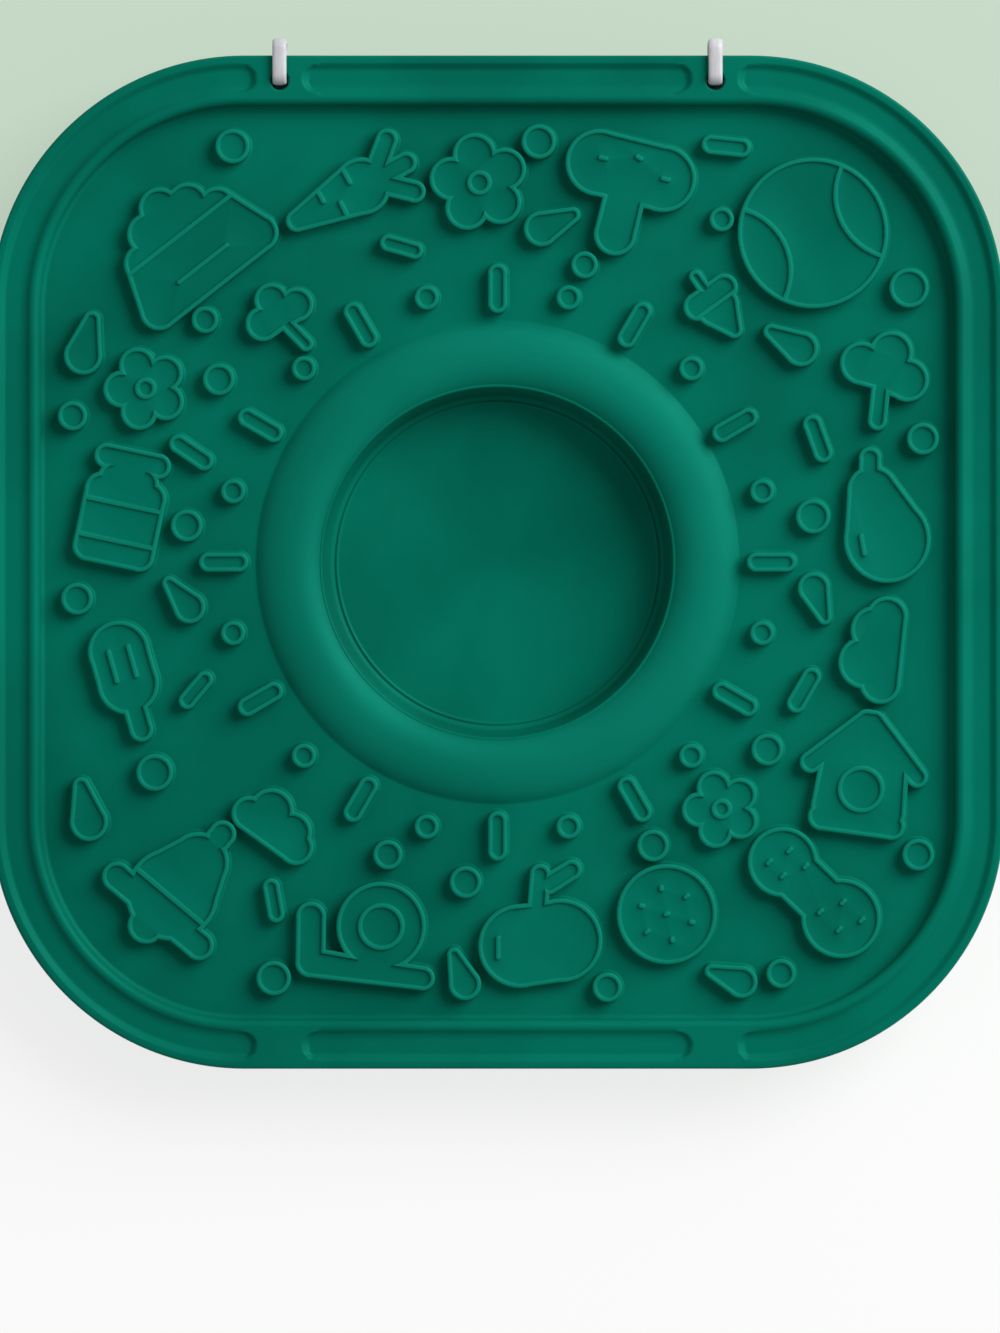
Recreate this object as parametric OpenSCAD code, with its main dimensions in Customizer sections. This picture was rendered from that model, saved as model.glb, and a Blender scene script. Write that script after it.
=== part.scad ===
// Square lick mat with a centre bowl: one moulded mat with raised figures, eight clip-in suction cups
// under it, and two cable ties through the lands of its rim.
// It lies flat: +Z is up, the origin is at the centre of the base, and the ties are on the +Y side.

/* [Mat] */
// Width and depth over the outer edge
mat_w = 200; // [190:1:230]
// Corner radius of the outer edge, seen from above
corner_r = 50; // [44:1:60]
// Height of the field above the table
field_z = 13; // [12:0.1:16]
// Thickness of the field
field_t = 2.5; // [2:0.1:3]

/* [Rim] */
// Height of the ridge above the field
ridge_h = 4; // [3.4:0.1:6]
// Distance of the ridge's top from the outer edge
ridge_in = 8.3; // [8:0.1:8.6]
// Radius of the ridge's rounded top
ridge_r = 1.4; // [1.2:0.1:1.6]
// Thickness of the rim under the channel
flange_t = 4; // [3:0.1:4.2]
// Depth of the channel below the ridge's top
channel_depth = 1.4; // [1.2:0.1:1.8]
// Width of the outer lip
lip_w = 2.2; // [1.8:0.1:2.3]
// Height of the outer lip above the channel
lip_h = 1.2; // [1:0.1:1.4]
// Width over which the channel's floor rises to the ridge
bank_w = 3.6; // [3:0.1:4]
// How far below the ridge's top that floor ends
bank_drop = 0.5; // [0.4:0.1:0.6]
// Thickness of the foot wall that stands on the table
foot_t = 2.5; // [2:0.1:3]

/* [Lands] */
// Distance of each land from the middle of the side
land_x = 43; // [30:1:44]
// Width of each land
land_w = 10; // [8:0.5:12]
// Diameter of the hole through each upper land
hole_d = 3.6; // [3.6:0.1:4]
// Distance of the hole from the outer edge
hole_in = 5; // [4.6:0.1:5.2]

/* [Bowl] */
// Inner radius of the bowl at its floor
bowl_floor_r = 33.4; // [28:0.1:34.4]
// How much wider the bowl's mouth is than its floor, on the radius
bowl_flare = 1.2; // [0.6:0.1:2]
// Thickness of the bowl's floor in its middle
bowl_floor_t = 2; // [1.6:0.1:3]
// How much higher the bowl's floor is at its edge than in its middle
dish_rise = 2; // [0.5:0.1:4]
// Thickness of the bowl's wall
bowl_wall_t = 2.5; // [2:0.1:3]
// Radius between the bowl's wall and its floor
bowl_fillet = 0.8; // [0.4:0.1:2]
// Height of the swollen ring above the field
swell_h = 2.6; // [1.8:0.1:3.4]
// Width of the swollen ring, from the bowl's mouth to the field
swell_w = 13.2; // [10:0.1:14]
// Distance of the thin bead on the bowl's floor from the bowl's wall
floor_bead_in = 1.4; // [1.3:0.1:10]
// Radius of the thin bead
floor_bead_r = 0.4; // [0.2:0.05:0.6]

/* [Relief] */
// Height of a figure above the field
figure_h = 2.2; // [1.2:0.1:2.6]
// Height of the bead above its figure
bead_h = 0.5; // [0.3:0.1:0.8]
// Width of the bead along a figure's edge
bead_w = 1; // [0.8:0.05:1.2]
// Size multiplier of the scattered figures
figure_size = 1; // [0.8:0.05:1.05]
// Bars and dots in the ring around the bowl
ring_count = 24; // [16:2:28]
// Length of a bar in the ring
ring_bar = 10; // [7:0.5:11]
// Distance from the swollen ring to the bars
ring_gap = 1.3; // [0.8:0.1:2.5]

/* [Suction cups] */
// Outer diameter of a cup's lip
cup_d = 28; // [22:1:32]
// Thickness of the cup's wall
cup_t = 1.4; // [1:0.1:1.8]
// Height of the cup from its lip to its shoulder
cup_h = 6.2; // [5:0.1:6.4]
// Diameter of the cup's shoulder
cup_shoulder_d = 9; // [8:0.5:10]
// Diameter of the stem
stem_d = 5; // [4:0.1:6]
// Diameter of the button head
head_d = 8; // [7:0.1:9]
// Height of the button head
head_h = 1.8; // [1.4:0.1:2]
// Outer diameter of the socket under the field
socket_d = 13; // [12:0.5:15]
// Thickness of the socket's lip that holds the head
socket_lip_t = 1.4; // [1:0.1:1.8]
// Skin left between the head's chamber and the top of the field
chamber_skin = 2.5; // [1.8:0.1:2.6]
// Distance of a side cup outwards from the middle between the bowl and the foot wall
side_cup_out = 2.55; // [0:0.05:6]
// Distance of a corner cup from both edges
corner_cup_in = 42; // [36:1:46]
// Running gap between stem and socket, on the radius
stem_gap = 0.1; // [0.05:0.01:0.15]
// Gap between other facing surfaces
seat_gap = 0.3; // [0.2:0.05:0.5]

/* [Cable ties] */
// Width of the strap
strap_w = 2.8; // [2:0.1:2.9]
// Thickness of the strap
strap_t = 1.2; // [0.8:0.1:1.2]
// Distance that the strap stands out beyond the mat's edge
strap_out = 3.4; // [2.6:0.1:6]
// Radius at the middle of the strap where it bends
strap_bend = 1.5; // [1.2:0.1:2]
// Width of the tie's head across the strap
tie_head_w = 4.6; // [4:0.1:5]
// Length of the head along the root strap
tie_head_l = 4.2; // [3.6:0.1:4.6]
// Height of the head along the tail
tie_head_h = 3.4; // [3:0.1:4]
// Distance of the strap in the hole from the hole's centre, towards the bowl
strap_inset = 0.25; // [0:0.05:0.3]
// Tail left standing out of the head
tail_l = 1.6; // [0:0.1:2]

/* [Hidden] */
$fn = 64;

// Overlap that joins solids of one moulding
weld = 0.5;
half = mat_w / 2;
corner_c = half - corner_r;

crest_z = field_z + ridge_h;
channel_z = crest_z - channel_depth;
flange_z = channel_z - flange_t;
field_under = field_z - field_t;
ridge_u = corner_r - ridge_in;
wall_in = ridge_in + ridge_r;
field_half = half - wall_in;
foot_out_u = corner_r - wall_in;
foot_in_u = foot_out_u - foot_t;

bowl_mouth_r = bowl_floor_r + bowl_flare;
floor_bead_c = bowl_floor_r - floor_bead_in;
swell_c = bowl_mouth_r + swell_w / 2;
swell_foot_r = bowl_mouth_r + swell_w;
// Radius of the swollen ring's section, and the height of that circle's centre
swell_r = (pow(swell_w / 2, 2) + pow(swell_h, 2)) / (2 * swell_h);
swell_z = field_z + swell_h - swell_r;

plateau_z = field_z + figure_h;
bead_z = plateau_z + bead_h;
// Half the width of a raised line inside a figure
line_r = bead_w / 2;
// Least half width that still leaves a pocket inside the bead
pocket_min = 0.3;
// Width of a figure's bar between its round ends, as a share of the ends
waist = 0.985;

head_top = field_z - chamber_skin - seat_gap;
head_under = head_top - head_h;
socket_lip_top = head_under - seat_gap;
socket_z = socket_lip_top - socket_lip_t;
cup_top = min(cup_h, socket_z - seat_gap);
side_cup_r = (bowl_mouth_r + bowl_wall_t + corner_c + foot_in_u) / 2 + side_cup_out;
corner_cup_r = half - corner_cup_in;

// Figures, each with its bars, its inner lines and its inner rings, as shares of the figure's size.
// A bar is [x, y, radius, x, y, radius] from end to end, an inner line is [x, y, x, y] and an inner
// ring is [x, y, radius].
FIGURES = [
    ["dot", [[0, 0, 0.5, 0, 0, 0.5]], [], []],
    ["pill", [[0, -0.3, 0.2, 0, 0.3, 0.2]], [], []],
    ["drop", [[0, -0.2, 0.3, 0, 0.36, 0.14]], [], []],
    ["carrot", [
        [0, -0.42, 0.08, 0, 0.08, 0.2], [0, 0.16, 0.08, -0.2, 0.38, 0.08],
        [0, 0.16, 0.08, 0, 0.42, 0.08], [0, 0.16, 0.08, 0.2, 0.38, 0.08]
    ], [[-0.19, 0.02, -0.06, 0.02], [0.14, -0.1, 0.03, -0.1], [-0.13, -0.2, -0.03, -0.2]], []],
    ["cloud", [
        [-0.3, -0.1, 0.19, 0.3, -0.1, 0.19], [-0.13, 0.06, 0.24, -0.13, 0.06, 0.24],
        [0.17, 0, 0.22, 0.17, 0, 0.22]
    ], [], []],
    ["flower", [
        for (a = [0 : 72 : 359]) [0, 0, 0.22, 0.28 * sin(a), 0.28 * cos(a), 0.22]
    ], [], [[0, 0, 0.1]]],
    ["clover", [
        for (a = [-90, 0, 90]) [0, 0.08, 0.2, 0.24 * sin(a), 0.08 + 0.2 * cos(a), 0.22],
        [0, 0, 0.1, 0.1, -0.4, 0.1]
    ], [], []],
    ["mushroom", [
        [-0.24, 0.16, 0.25, 0.24, 0.16, 0.25], [0, 0, 0.16, 0, -0.32, 0.16]
    ], [[-0.24, 0.2, -0.2, 0.2], [0.02, 0.27, 0.05, 0.26], [0.24, 0.16, 0.28, 0.16]], []],
    ["apple", [
        [-0.15, -0.08, 0.31, 0.15, -0.08, 0.31], [0, 0.1, 0.08, 0.07, 0.42, 0.08],
        [0.12, 0.34, 0.08, 0.3, 0.42, 0.08]
    ], [[-0.3, 0, -0.32, -0.14]], []],
    ["pear", [
        [0, -0.2, 0.3, 0.02, 0.14, 0.18], [0.02, 0.2, 0.08, 0.08, 0.36, 0.08]
    ], [[-0.16, -0.12, -0.18, -0.24]], []],
    ["peanut", [
        [0, -0.24, 0.25, 0, -0.24, 0.25], [0, 0.26, 0.22, 0, 0.26, 0.22], [0, -0.24, 0.17, 0, 0.26, 0.17]
    ], [
        for (y = [-0.28, -0.12, 0.2, 0.32]) [-0.07, y, -0.05, y],
        for (y = [-0.34, -0.18, 0.14, 0.28]) [0.07, y, 0.09, y]
    ], []],
    ["ball", [[0, 0, 0.5, 0, 0, 0.5]], [], [[-0.62, 0, 0.42], [0.62, 0, 0.42]]],
    ["biscuit", [[0, 0, 0.5, 0, 0, 0.5]], [
        for (a = [0 : 60 : 359]) [0.25 * sin(a), 0.25 * cos(a), 0.27 * sin(a), 0.27 * cos(a)],
        [-0.01, 0, 0.01, 0]
    ], []],
    ["bell", [
        [0, 0.16, 0.2, 0, -0.1, 0.3], [-0.34, -0.24, 0.1, 0.34, -0.24, 0.1],
        [0, -0.36, 0.12, 0, -0.36, 0.12], [0, 0.36, 0.09, 0, 0.4, 0.09]
    ], [[-0.3, -0.12, 0.3, -0.12]], []],
    ["dish", [
        [-0.38, -0.26, 0.12, 0.38, -0.26, 0.12], [-0.28, 0.02, 0.12, 0.28, 0.02, 0.12],
        [-0.38, -0.26, 0.12, -0.28, 0.02, 0.12], [0.38, -0.26, 0.12, 0.28, 0.02, 0.12],
        [-0.28, -0.12, 0.12, 0.28, -0.12, 0.12], [-0.15, 0.14, 0.13, 0.15, 0.14, 0.13],
        [0, 0.22, 0.13, 0, 0.22, 0.13]
    ], [[-0.38, 0.02, 0.38, 0.02], [-0.18, -0.2, 0.18, -0.2]], []],
    ["kennel", [
        [-0.38, 0.02, 0.08, -0.02, 0.35, 0.1], [0.38, 0.02, 0.08, 0.02, 0.35, 0.1],
        [-0.25, -0.35, 0.1, 0.25, -0.35, 0.1],
        [-0.2, -0.26, 0.14, -0.16, 0.06, 0.16], [0.2, -0.26, 0.14, 0.16, 0.06, 0.16],
        [0, -0.24, 0.16, 0, 0.18, 0.18]
    ], [], [[0, -0.12, 0.15]]],
    ["jar", [
        [-0.2, -0.34, 0.12, 0.2, -0.34, 0.12], [-0.18, -0.3, 0.14, -0.18, 0.1, 0.14],
        [0.18, -0.3, 0.14, 0.18, 0.1, 0.14], [0, -0.28, 0.16, 0, 0.08, 0.16], [-0.2, 0.36, 0.1, 0.2, 0.36, 0.1],
        [-0.1, 0.2, 0.14, 0.1, 0.2, 0.14]
    ], [[-0.3, 0.02, 0.3, 0.02], [-0.3, -0.26, 0.3, -0.26]], []],
    ["snail", [
        [0.08, 0.02, 0.32, 0.08, 0.02, 0.32], [-0.38, -0.3, 0.11, 0.42, -0.3, 0.09],
        [-0.38, -0.3, 0.11, -0.42, 0.02, 0.11]
    ], [], [[0.08, 0.02, 0.15]]],
    ["acorn", [
        [0, 0, 0.25, 0, -0.32, 0.1], [-0.18, 0.12, 0.16, 0.18, 0.12, 0.16], [0, 0.24, 0.08, 0, 0.4, 0.08]
    ], [[-0.3, 0.02, 0.3, 0.02]], []],
    ["lolly", [
        [0, -0.02, 0.25, 0, 0.24, 0.25], [0, -0.2, 0.1, 0, -0.4, 0.1]
    ], [[-0.08, 0.02, -0.08, 0.26], [0.08, 0.02, 0.08, 0.26]], []]
];

// Where the figures lie: [name, x, y, turn, size]. Places are percent of the way from the centre to
// the field's wall, turns are degrees, and sizes are millimetres.
PLACES = [
    ["dish", -69, 71, 38, 33],
    ["drop", -90, 48, -14, 13],
    ["dot", -58, 91, 0, 7],
    ["clover", -47, 53, 30, 16],
    ["carrot", -32, 81, -62, 29],
    ["dot", -64, 53, 0, 5.5],
    ["pill", -21, 69, 74, 9],
    ["flower", -4, 83, 10, 20],
    ["dot", 9, 92, 0, 7],
    ["drop", 12, 74, -66, 12],
    ["mushroom", 28, 81, -14, 27],
    ["dot", 19, 65, 0, 5.5],
    ["pill", 50, 91, 84, 10],
    ["acorn", 48, 56, 36, 18],
    ["ball", 69, 72, 24, 30],
    ["dot", 49, 75, 0, 5],
    ["drop", 64, 48, 60, 12],
    ["dot", 90, 60, 0, 8],
    ["clover", 84, 40, -20, 20],
    ["pill", 70, 27, 20, 10],
    ["pear", 83, 11, 20, 29],
    ["dot", 93, 27, 0, 6.5],
    ["dot", 69, 10, 0, 7],
    ["cloud", 82, -19, 84, 22],
    ["drop", 70, -8, 200, 11],
    ["pill", 67, -28, -30, 10],
    ["kennel", 80, -46, -8, 28],
    ["dot", 59, -41, 0, 6.5],
    ["flower", 49, -54, 20, 16],
    ["dot", 92, -64, 0, 6.5],
    ["peanut", 69, -72, 46, 32],
    ["drop", 51, -91, 70, 11],
    ["dot", 62, -90, 0, 6],
    ["biscuit", 37, -77, 12, 20],
    ["dot", 34, -62, 0, 6.5],
    ["dot", 24, -93, 0, 6],
    ["apple", 9, -81, 8, 27],
    ["dot", -7, -70, 0, 6.5],
    ["drop", -8, -90, 20, 11],
    ["snail", -28, -80, -8, 28],
    ["dot", -49, -91, 0, 7],
    ["dot", -24, -64, 0, 6],
    ["cloud", -48, -57, -36, 19],
    ["bell", -69, -70, -40, 31],
    ["pill", -49, -74, 10, 9],
    ["drop", -90, -54, 12, 13],
    ["dot", -75, -46, 0, 7.5],
    ["lolly", -81, -26, 16, 25],
    ["pill", -66, -28, -40, 9],
    ["dot", -92, -8, 0, 6.5],
    ["drop", -69, -8, 40, 11],
    ["jar", -82, 12, -12, 26],
    ["dot", -68, 8, 0, 6.5],
    ["pill", -67, 24, 56, 10],
    ["dot", -93, 32, 0, 6],
    ["flower", -77, 38, 20, 17],
    ["dot", -61, 40, 0, 6.5]
];

// A bar with round ends of radius a and b. Its sides cut both ends just inside their edge, so that
// no side is tangent to an end.
module bar(p, q, a, b) {
    translate(p)
        circle(r = a);
    if (norm(q - p) > 0) {
        along = (q - p) / norm(q - p);
        across = [-along[1], along[0]];
        s = (a - b) / norm(q - p);
        left = s * along + sqrt(1 - s * s) * across;
        right = s * along - sqrt(1 - s * s) * across;
        translate(q)
            circle(r = b);
        polygon([p + waist * a * left, q + waist * b * left, q + waist * b * right, p + waist * a * right]);
    }
}

// A figure's outline, drawn in by a margin on every side
module outline(bars, size, margin) {
    for (k = bars)
        if (min(k[2], k[5]) * size - margin >= pocket_min)
            bar([k[0], k[1]] * size, [k[3], k[4]] * size, k[2] * size - margin, k[5] * size - margin);
}

module ring(r) {
    difference() {
        circle(r = r + line_r);
        circle(r = r - line_r);
    }
}

// A figure as a block with a bead along its edge and its inner lines as high as the bead
module figure(bars, lines, rings, size) {
    base_z = field_z - weld;
    difference() {
        translate([0, 0, base_z])
            linear_extrude(bead_z - base_z)
                outline(bars, size, 0);
        translate([0, 0, plateau_z])
            linear_extrude(bead_h + 1)
                difference() {
                    outline(bars, size, bead_w);
                    for (k = lines)
                        bar([k[0], k[1]] * size, [k[2], k[3]] * size, line_r, line_r);
                    for (k = rings)
                        translate([k[0], k[1]] * size)
                            ring(k[2] * size);
                }
    }
}

module named_figure(name, size) {
    for (f = FIGURES)
        if (f[0] == name)
            figure(f[1], f[2], f[3], size);
}

module relief() {
    for (p = PLACES)
        translate([p[1], p[2], 0] * field_half / 100)
            rotate(p[3])
                named_figure(p[0], p[4] * figure_size);
    for (i = [0 : ring_count - 1])
        rotate(360 * i / ring_count)
            translate([0, swell_foot_r + ring_gap + ring_bar / 2, 0])
                named_figure(i % 2 == 0 ? "pill" : "dot", i % 2 == 0 ? ring_bar : ring_bar / 2);
}

module rounded_square(w, r) {
    square([w - 2 * r, w], center = true);
    square([w, w - 2 * r], center = true);
    for (x = [-1, 1])
        for (y = [-1, 1])
            translate([x, y] * (w / 2 - r))
                circle(r = r);
}

// A section swept round the mat. Its x is the distance from the centre of the corner's arc.
module round_the_mat() {
    for (a = [0 : 90 : 270])
        rotate(a) {
            translate([corner_c, corner_c, 0])
                rotate_extrude(angle = 90)
                    children();
            translate([corner_c, 0, 0])
                rotate([90, 0, 0])
                    linear_extrude(2 * corner_c, center = true)
                        children();
        }
}

// Flange, channel with its rising floor, outer lip, rounded ridge and foot wall
module rim_section() {
    lip_top = channel_z + lip_h;
    bank_z = channel_z - weld / 2;
    bank_slope = (channel_depth - bank_drop) / bank_w;
    translate([foot_in_u, flange_z])
        square([corner_r - foot_in_u, flange_t]);
    translate([foot_in_u, 0])
        square([foot_t, flange_z + weld]);
    translate([ridge_u - ridge_r, flange_z])
        square([2 * ridge_r, crest_z - ridge_r - flange_z]);
    translate([ridge_u, crest_z - ridge_r])
        circle(r = ridge_r);
    translate([corner_r - lip_w, channel_z - weld])
        square([lip_w, lip_top - lip_w / 2 - channel_z + weld]);
    translate([corner_r - lip_w / 2, lip_top - lip_w / 2])
        circle(r = lip_w / 2);
    polygon([
        [ridge_u, bank_z], [ridge_u + bank_w + weld / 2 / bank_slope, bank_z],
        [ridge_u, crest_z - bank_drop]
    ]);
}

// Height of the dished floor at a distance from the axis
function floor_z(r) = bowl_floor_t + dish_rise * pow(r / bowl_floor_r, 2);

// Section of the bowl's inside: dished floor, fillet, leaning wall
function bowl_inside() = let(
    edge_r = bowl_floor_r - bowl_fillet,
    edge_z = floor_z(edge_r),
    lean = bowl_flare / (field_z - edge_z - bowl_fillet),
    over = crest_z + 1 - field_z
) [
    for (i = [0 : 6]) [edge_r * i / 6, floor_z(edge_r * i / 6)],
    for (a = [15 : 15 : 75]) [edge_r + bowl_fillet * sin(a), edge_z + bowl_fillet * (1 - cos(a))],
    [bowl_floor_r, edge_z + bowl_fillet],
    [bowl_mouth_r + lean * over, field_z + over], [0, field_z + over]
];

module bowl_section() {
    difference() {
        union() {
            polygon([
                [0, 0], [bowl_floor_r + bowl_wall_t, 0], [bowl_mouth_r + bowl_wall_t, field_under],
                [swell_c, field_under], [swell_c, field_z - weld / 2], [0, field_z - weld / 2]
            ]);
            intersection() {
                translate([swell_c, swell_z])
                    circle(r = swell_r, $fn = 180);
                translate([bowl_mouth_r - weld, field_z - weld])
                    square([swell_w + 2 * weld, swell_h + 2 * weld]);
            }
        }
        polygon(bowl_inside());
    }
    translate([floor_bead_c, floor_z(floor_bead_c)])
        circle(r = floor_bead_r);
}

function cup_places() = [
    [-corner_cup_r, corner_cup_r], [0, side_cup_r], [corner_cup_r, corner_cup_r],
    [-side_cup_r, 0], [side_cup_r, 0],
    [-corner_cup_r, -corner_cup_r], [0, -side_cup_r], [corner_cup_r, -corner_cup_r]
];

module mat() {
    color([0.01, 0.39, 0.32])
        difference() {
            union() {
                difference() {
                    translate([0, 0, field_under])
                        linear_extrude(field_t)
                            rounded_square(2 * (corner_c + foot_in_u + weld), foot_in_u + weld);
                    cylinder(r = swell_c, h = 3 * field_z, center = true);
                }
                round_the_mat()
                    rim_section();
                rotate_extrude()
                    bowl_section();
                for (x = [-land_x, land_x])
                    for (y = [-1, 1])
                        translate([x - land_w / 2, y > 0 ? half - ridge_in : -half, channel_z - weld])
                            cube([land_w, ridge_in, channel_depth + weld]);
                for (p = cup_places())
                    translate([p[0], p[1], socket_z])
                        cylinder(d = socket_d, h = field_under - socket_z + weld);
                relief();
            }
            for (x = [-land_x, land_x])
                translate([x, half - hole_in, 0])
                    cylinder(d = hole_d, h = crest_z + 1);
            for (p = cup_places())
                translate([p[0], p[1], 0]) {
                    cylinder(r = stem_d / 2 + stem_gap, h = socket_lip_top + weld);
                    translate([0, 0, socket_lip_top])
                        cylinder(d = head_d + 2 * seat_gap, h = head_top + seat_gap - socket_lip_top);
                }
        }
}

// A soft cup that opens downwards, with its stem and button head in the socket
module suction_cup(i) {
    lip_r = cup_d / 2;
    shoulder_r = cup_shoulder_d / 2;
    color([0.72, 0.84, 0.8])
        translate([cup_places()[i][0], cup_places()[i][1], 0])
            rotate_extrude() {
                difference() {
                    polygon([
                        [0, 0], [lip_r, 0], [lip_r, cup_t / 2], [lip_r - cup_t / 2, cup_t],
                        [shoulder_r + cup_t, cup_top - cup_t / 2], [shoulder_r, cup_top], [0, cup_top]
                    ]);
                    polygon([
                        [-1, -1], [lip_r - cup_t / 2, -1], [lip_r - cup_t / 2, 0],
                        [shoulder_r, cup_top - 2 * cup_t], [-1, cup_top - 2 * cup_t]
                    ]);
                }
                square([stem_d / 2, head_top]);
                translate([0, head_under])
                    square([head_d / 2, head_h]);
            }
}

// A closed loop of strap: up through the land's hole, over the rim and back under it to the head
module cable_tie(x) {
    inner_y = half - hole_in - strap_inset;
    outer_y = half + strap_out - strap_t / 2;
    top_z = crest_z + seat_gap + strap_t / 2;
    low_z = flange_z - seat_gap - tie_head_h / 2;
    loop_w = outer_y - inner_y;
    loop_h = top_z - low_z;
    color([0.8, 0.8, 0.82])
        translate([x, 0, 0]) {
            rotate([90, 0, 90])
                linear_extrude(strap_w, center = true)
                    translate([(inner_y + outer_y) / 2, (top_z + low_z) / 2])
                        difference() {
                            loop_face(loop_w + strap_t, loop_h + strap_t, strap_bend + strap_t / 2);
                            loop_face(loop_w - strap_t, loop_h - strap_t, strap_bend - strap_t / 2);
                        }
            translate([-tie_head_w / 2, inner_y - tie_head_l / 2, low_z - tie_head_h / 2])
                cube([tie_head_w, tie_head_l, tie_head_h]);
            translate([-strap_w / 2, inner_y - strap_t / 2, low_z - tie_head_h / 2 - tail_l])
                cube([strap_w, strap_t, tail_l + weld]);
        }
}

// A w by h rectangle with rounded corners
module loop_face(w, h, r) {
    square([w - 2 * r, h], center = true);
    square([w, h - 2 * r], center = true);
    for (x = [-1, 1])
        for (y = [-1, 1])
            translate([x * (w / 2 - r), y * (h / 2 - r)])
                circle(r = r);
}

mat();
cable_tie(-land_x);  // cable_tie_left
cable_tie(land_x);  // cable_tie_right
suction_cup(0);  // suction_cup_back_left
suction_cup(1);  // suction_cup_back
suction_cup(2);  // suction_cup_back_right
suction_cup(3);  // suction_cup_left
suction_cup(4);  // suction_cup_right
suction_cup(5);  // suction_cup_front_left
suction_cup(6);  // suction_cup_front
suction_cup(7);  // suction_cup_front_right
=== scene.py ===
"""Builds a square silicone lick mat: the moulded mat with its centre bowl and raised figures, the suction
cups under it, the two cable ties through its rim, and a plain studio that looks straight down on it."""
import math
from collections import Counter, namedtuple

import bmesh
import bpy
from bpy.props import FloatProperty, FloatVectorProperty, PointerProperty
from bpy.types import Operator, Panel, PropertyGroup
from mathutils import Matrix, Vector


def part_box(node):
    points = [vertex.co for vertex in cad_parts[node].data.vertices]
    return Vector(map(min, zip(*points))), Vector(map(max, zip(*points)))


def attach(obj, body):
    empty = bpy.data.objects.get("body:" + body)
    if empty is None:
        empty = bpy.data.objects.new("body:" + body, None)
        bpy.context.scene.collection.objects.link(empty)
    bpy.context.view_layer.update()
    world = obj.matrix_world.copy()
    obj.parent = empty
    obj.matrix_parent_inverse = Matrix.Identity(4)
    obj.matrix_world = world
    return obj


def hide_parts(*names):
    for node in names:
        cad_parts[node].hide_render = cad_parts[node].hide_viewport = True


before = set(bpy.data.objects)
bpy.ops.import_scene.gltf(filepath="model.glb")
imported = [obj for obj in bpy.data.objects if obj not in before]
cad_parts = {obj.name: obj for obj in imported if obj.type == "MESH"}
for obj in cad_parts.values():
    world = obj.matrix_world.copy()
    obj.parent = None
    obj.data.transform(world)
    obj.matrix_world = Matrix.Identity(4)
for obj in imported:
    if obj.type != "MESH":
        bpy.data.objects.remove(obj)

bl_info = {
    "name": "Lick mat",
    "version": (1, 0, 0),
    "blender": (4, 5, 0),
    "location": "3D View > Sidebar > Lick mat",
    "description": "Builds a silicone lick mat with its suction cups, cable ties and studio",
    "category": "Add Mesh",
}

MM = 0.001
# Two points closer than this are one point
SAME = 0.002 * MM
# Heights that differ by less than this are level
LEVEL = 5 * SAME
# Width of the strip beside a rounding that makes the flat face next to it shade flat
STRIP = 0.2 * MM
# Steps of a quarter turn, the same in the rim's corners and the bowl, so that the field is bridged evenly
QUARTER_STEPS = 44
# How deep the fine grain of a moulded surface is
GRAIN_DEPTH = 0.05 * MM


def corners(node):
    """The lowest and the highest corner of a CAD node."""
    return [[float(value) for value in corner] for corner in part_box(node)]


MAT_HIGH = corners("mat")[1]
TIE_LOW, TIE_HIGH = corners("cable_tie_left")
CUP_LOW, CUP_HIGH = corners("suction_cup_back")
CUP_NODES = sorted(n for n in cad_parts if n.startswith("suction_cup_"))
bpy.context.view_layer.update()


def from_frame(name, description, size, less=0.0):
    """A property that holds a size of the frame, less some millimetres."""
    return FloatProperty(name=name, description=description, default=size - less * MM, unit="LENGTH")


def length(name, description, default):
    """A property that holds a length, given in millimetres."""
    return FloatProperty(name=name, description=description, default=default * MM, unit="LENGTH")


def steepness(name, description, default):
    """A property that holds an angle, given in degrees."""
    return FloatProperty(
        name=name, description=description, default=math.radians(default), subtype="ANGLE",
        unit="ROTATION")


def position(name, description, default):
    """A property that holds a place, given in metres."""
    return FloatVectorProperty(
        name=name, description=description, default=default, size=3, subtype="TRANSLATION", unit="LENGTH")


def number(name, description, default):
    """A property that holds a plain number."""
    return FloatProperty(name=name, description=description, default=default)


def colour(name, description, default):
    """A property that holds a colour, given as it looks on the screen, from 0 to 255."""
    return FloatVectorProperty(
        name=name, description=description, default=[linear(c / 255) for c in default],
        subtype="COLOR", size=3, min=0, max=1)


def linear(value):
    """A screen value from 0 to 1 as the linear value that renders as it."""
    return value / 12.92 if value <= 0.04045 else ((value + 0.055) / 1.055) ** 2.4


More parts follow.
